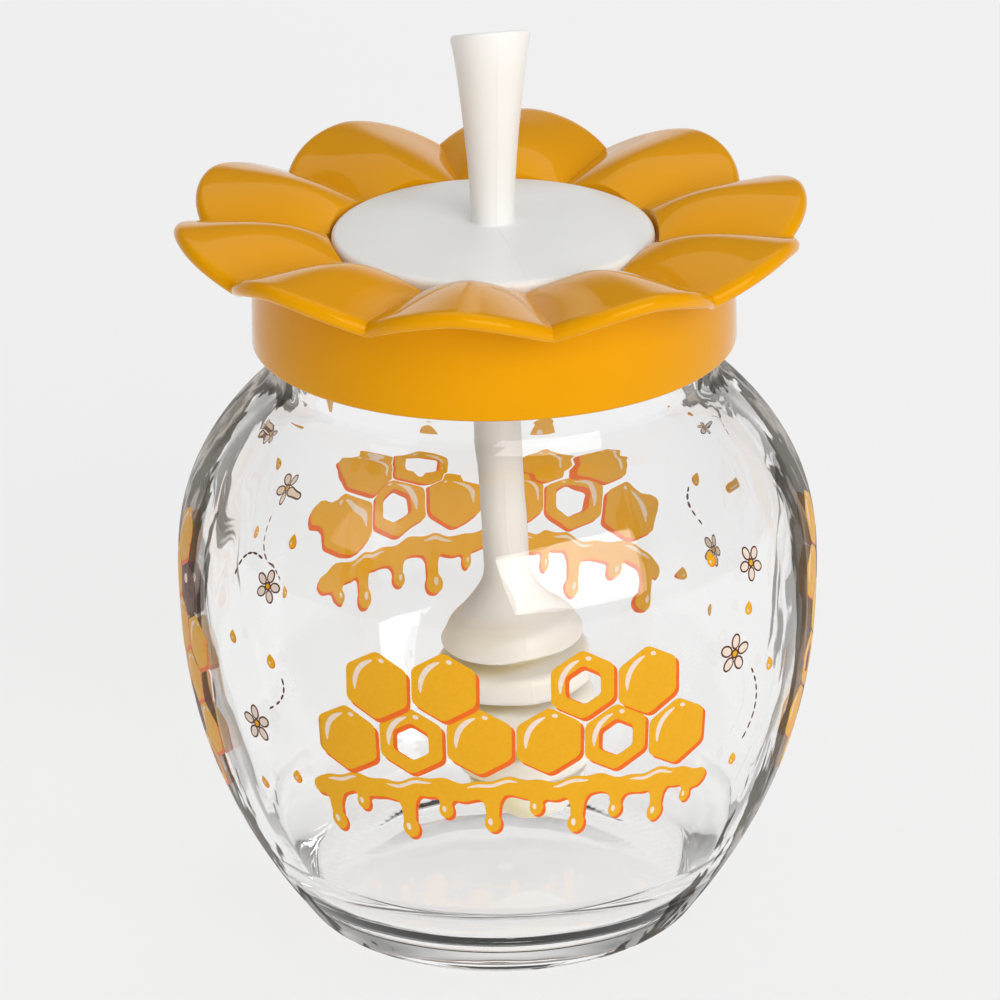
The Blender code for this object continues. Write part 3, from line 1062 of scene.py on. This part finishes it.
def cream_look():
    """White above the disc; below it darker and warmer as painted shade for the jar's inside under the lid,
    lighter on the head as painted light against the print's shade, and darker yellow in the grooves as
    painted shade.
    """
    look = Look("cream_moulding")
    look.set(IOR=1.48, Subsurface_Weight=0.25, Subsurface_Scale=0.002, Subsurface_Radius=(1.0, 0.9, 0.8))
    clouds = look.noise(45.0, 4.0)
    unshaded_cream = look.ramp(clouds, ((0.30, (0.87, 0.87, 0.84)), (0.70, (0.91, 0.91, 0.885))))
    # Painted shade: a darker, warmer cream below the disc; painted light: a lighter head; painted shade: a
    # darker yellow in the grooves.
    painted_shade_cream = look.ramp(clouds, ((0.30, (0.64, 0.61, 0.555)), (0.70, (0.68, 0.65, 0.60))))
    painted_light_ivory = look.ramp(clouds, ((0.30, (0.80, 0.76, 0.68)), (0.70, (0.84, 0.81, 0.74))))
    painted_groove_shade = look.ramp(clouds, ((0.30, (0.74, 0.64, 0.36)), (0.70, (0.78, 0.69, 0.43))))
    place = look.split(look.place)
    across = look.add("ShaderNodeCombineXYZ")
    look.link(place["X"], across.inputs["X"])
    look.link(place["Y"], across.inputs["Y"])
    radius = look.add("ShaderNodeVectorMath", operation="LENGTH")
    look.link(across.outputs["Vector"], radius.inputs[0])
    # Painted groove shade towards the axis, painted light on the rest of the head.
    head = look.blend(radius.outputs["Value"], GROOVE_R + 1.0 * MM, CONE_R - 1.2 * MM, painted_groove_shade, painted_light_ivory)
    below = look.blend(place["Z"], CONE_Z - 3.0 * MM, CONE_Z + 6.0 * MM, head, painted_shade_cream)
    whole = look.blend(place["Z"], DISC_UNDER_Z - 14.0 * MM, DISC_UNDER_Z, below, unshaded_cream)
    look.link(whole, look.shader.inputs["Base Color"])
    look.roughness(look.noise(180.0, 3.0), 0.30, 0.42)
    look.bump(look.noise(340.0, 4.0), 0.12, 0.05 * MM)
    return look.material


def ink_look(name, dark, light):
    look = Look(name)
    look.set(IOR=1.5, Specular_IOR_Level=0.12)
    look.set(Subsurface_Weight=0.35, Subsurface_Scale=0.0006, Subsurface_Radius=(1.0, 0.8, 0.5))
    look.colour(look.noise(1300.0, 3.0), ((0.32, dark), (0.68, light)))
    look.roughness(look.noise(600.0, 2.0), 0.28, 0.45)
    look.bump(look.noise(900.0, 3.0), 0.15, 0.02 * MM)
    return look.material


def floor_look():
    look = Look("pale_floor")
    look.set(IOR=1.3, Specular_IOR_Level=0.1, Emission_Color=(1.0, 1.0, 1.0, 1.0), Emission_Strength=0.70)
    look.colour(look.noise(1.6, 2.0), greys((0.30, 0.21), (0.70, 0.23)))
    look.roughness(look.noise(9.0, 2.0), 0.75, 0.85)
    return look.material


def inks():
    return {
        "honey": ink_look("honey_ink", (0.78, 0.350, 0.010), (0.81, 0.370, 0.014)),
        "amber": ink_look("amber_ink", (0.80, 0.115, 0.012), (0.85, 0.135, 0.018)),
        "cream": ink_look("cream_ink", (0.80, 0.62, 0.50), (0.85, 0.68, 0.57)),
        "brown": ink_look("brown_ink", (0.075, 0.022, 0.010), (0.105, 0.032, 0.015)),
    }


# Pieces

def dress(obj, slot, *nodes):
    """The piece rides on the jar's one body and stands for its nodes; the slot is not used."""
    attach(obj, "root")
    if nodes:
        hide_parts(*nodes)


def make_jar():
    obj = skin("jar_glass", jar_rings(), sharp_deg=60.0)
    obj.data.materials.append(glass_look())
    dress(obj, "clear_glass", "glass_jar")


def make_print():
    looks = inks()
    broad, tall = main_print() + scatter_print(), side_print()
    for name, shapes, middle in (
        ("print_front", broad, -90.0),
        ("print_back", broad, 90.0),
        ("print_right", tall, -8.0),
        ("print_left", tall, 192.0),
    ):
        dress(ink_piece(name, shapes, middle, looks), "yellow_plastic")


def make_lid():
    obj = skin("lid_flower", lid_rings(), sharp_deg=40.0, closed_loop=True)
    obj.data.materials.append(yellow_look())
    dress(obj, "yellow_plastic", "flower_lid")


def make_dipper():
    obj = skin("dipper_moulding", dipper_rings(), sharp_deg=50.0)
    obj.data.materials.append(cream_look())
    dress(obj, "white_plastic", "dipper")


# Stage

def make_floor():
    corners = [(x * FLOOR_HALF, y * FLOOR_HALF, 0.0) for x, y in ((-1, -1), (1, -1), (1, 1), (-1, 1))]
    floor = piece("floor", corners, [(0, 1, 2, 3)])
    floor.location.z = -FLOOR_DROP
    floor.data.materials.append(floor_look())


def soft_light(name, azimuth_deg, elevation_deg, distance, wide, high, power):
    """A softbox this way from the jar; azimuth 0 is the camera's side, and it turns to the right."""
    around, up = math.radians(azimuth_deg), math.radians(elevation_deg)
    towards = Vector((math.sin(around) * math.cos(up), -math.cos(around) * math.cos(up), math.sin(up)))
    data = bpy.data.lights.new(name, "AREA")
    data.shape = "RECTANGLE"
    data.size = wide
    data.size_y = high
    data.energy = power
    light = bpy.data.objects.new(name, data)
    light.location = Vector((0.0, 0.0, LIGHT_AIM_Z)) + distance * towards
    light.rotation_euler = towards.to_track_quat("Z", "Y").to_euler()
    bpy.context.scene.collection.objects.link(light)


def make_lights():
    for light in LIGHTS:
        soft_light(*light)


def make_world():
    """A studio with a bright backdrop low behind the jar, dim sides and a soft glow overhead."""
    world = bpy.data.worlds.new("studio")
    world.use_nodes = True
    bpy.context.scene.world = world
    tree = world.node_tree

    def graded(source, stops):
        ramp = tree.nodes.new("ShaderNodeValToRGB")
        fill_ramp(ramp, greys(*stops))
        tree.links.new(source, ramp.inputs["Fac"])
        return ramp.outputs["Color"]

    def combined(operation, *sources):
        node = tree.nodes.new("ShaderNodeMath")
        node.operation = operation
        for socket, source in zip(node.inputs, sources):
            tree.links.new(source, socket)
        return node.outputs["Value"]

    place = tree.nodes.new("ShaderNodeTexCoord")
    split = tree.nodes.new("ShaderNodeSeparateXYZ")
    tree.links.new(place.outputs["Generated"], split.inputs["Vector"])
    behind = tree.nodes.new("ShaderNodeMapRange")
    behind.inputs["From Min"].default_value = -1.0
    tree.links.new(split.outputs["Y"], behind.inputs["Value"])
    low = graded(split.outputs["Z"], ((0.0, 1.0), (0.20, 0.9), (0.42, 0.1), (0.6, 0.0)))
    backdrop = graded(behind.outputs["Result"], ((0.0, 0.55), (0.5, 0.25), (0.75, 0.45), (1.0, 1.0)))
    overhead = graded(split.outputs["Z"], ((0.0, 0.02), (0.45, 0.08), (0.85, 0.44), (1.0, 0.44)))
    light = combined("ADD", combined("MULTIPLY", low, backdrop), overhead)
    tree.links.new(light, tree.nodes["Background"].inputs["Strength"])
    tree.nodes["Background"].inputs["Color"].default_value = (1.0, 1.0, 1.0, 1.0)


def make_camera():
    data = bpy.data.cameras.new("camera")
    data.lens = CAMERA_LENS_MM
    data.sensor_width = SENSOR_MM
    data.clip_start = CAMERA_NEAR
    camera = bpy.data.objects.new("camera", data)
    bpy.context.scene.collection.objects.link(camera)
    ahead = Vector((0.0, math.cos(CAMERA_DOWN), -math.sin(CAMERA_DOWN)))
    right = Vector((1.0, 0.0, 0.0))
    up = right.cross(ahead)
    aim = Vector((0.0, 0.0, SKIRT_BOTTOM_Z))
    camera.location = aim + CAMERA_ASIDE * right - CAMERA_DROP * up - CAMERA_DISTANCE * ahead
    turned = up * math.cos(CAMERA_ROLL) + right * math.sin(CAMERA_ROLL)
    side = ahead.cross(turned)
    matrix = camera.matrix_world.to_3x3()
    for row in range(3):
        matrix[row] = (side[row], turned[row], -ahead[row])
    camera.rotation_euler = matrix.to_euler()
    bpy.context.scene.camera = camera


make_camera()
make_jar()
make_print()
make_lid()
make_dipper()
make_floor()
make_lights()
make_world()
bpy.context.scene.view_settings.view_transform = "Standard"
